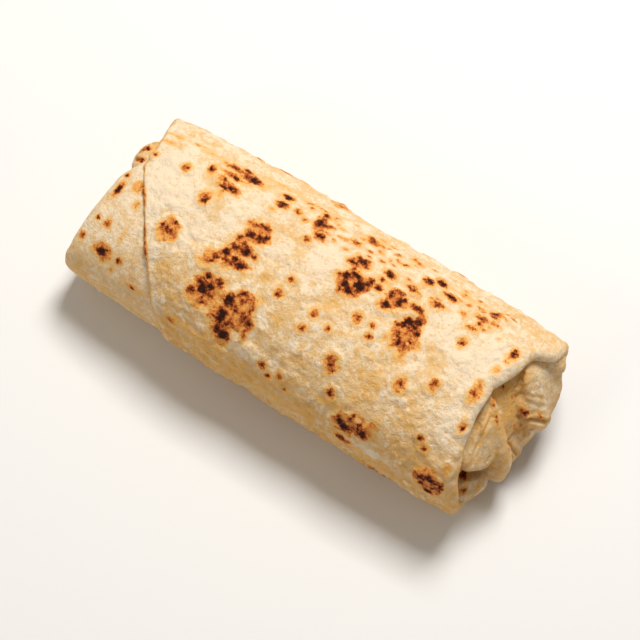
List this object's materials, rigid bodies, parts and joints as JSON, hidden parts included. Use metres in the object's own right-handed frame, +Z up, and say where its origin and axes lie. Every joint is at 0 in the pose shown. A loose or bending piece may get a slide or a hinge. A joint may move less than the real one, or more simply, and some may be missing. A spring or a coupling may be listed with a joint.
{
  "type": "burrito",
  "caption": "Whole burrito in a toasted flour tortilla, both ends tucked in, lying on its seam.",
  "frame": {"origin": "on the table, under the middle of the bounding box", "axes": "+X along the roll towards the end with the open tucks, +Y towards the far side, +Z up"},
  "size_m": [0.1872, 0.0779, 0.0535],
  "materials": {
    "tortilla": null
  },
  "bodies": {
    "root": {"tortilla": "tortilla"}
  },
  "joints": []
}
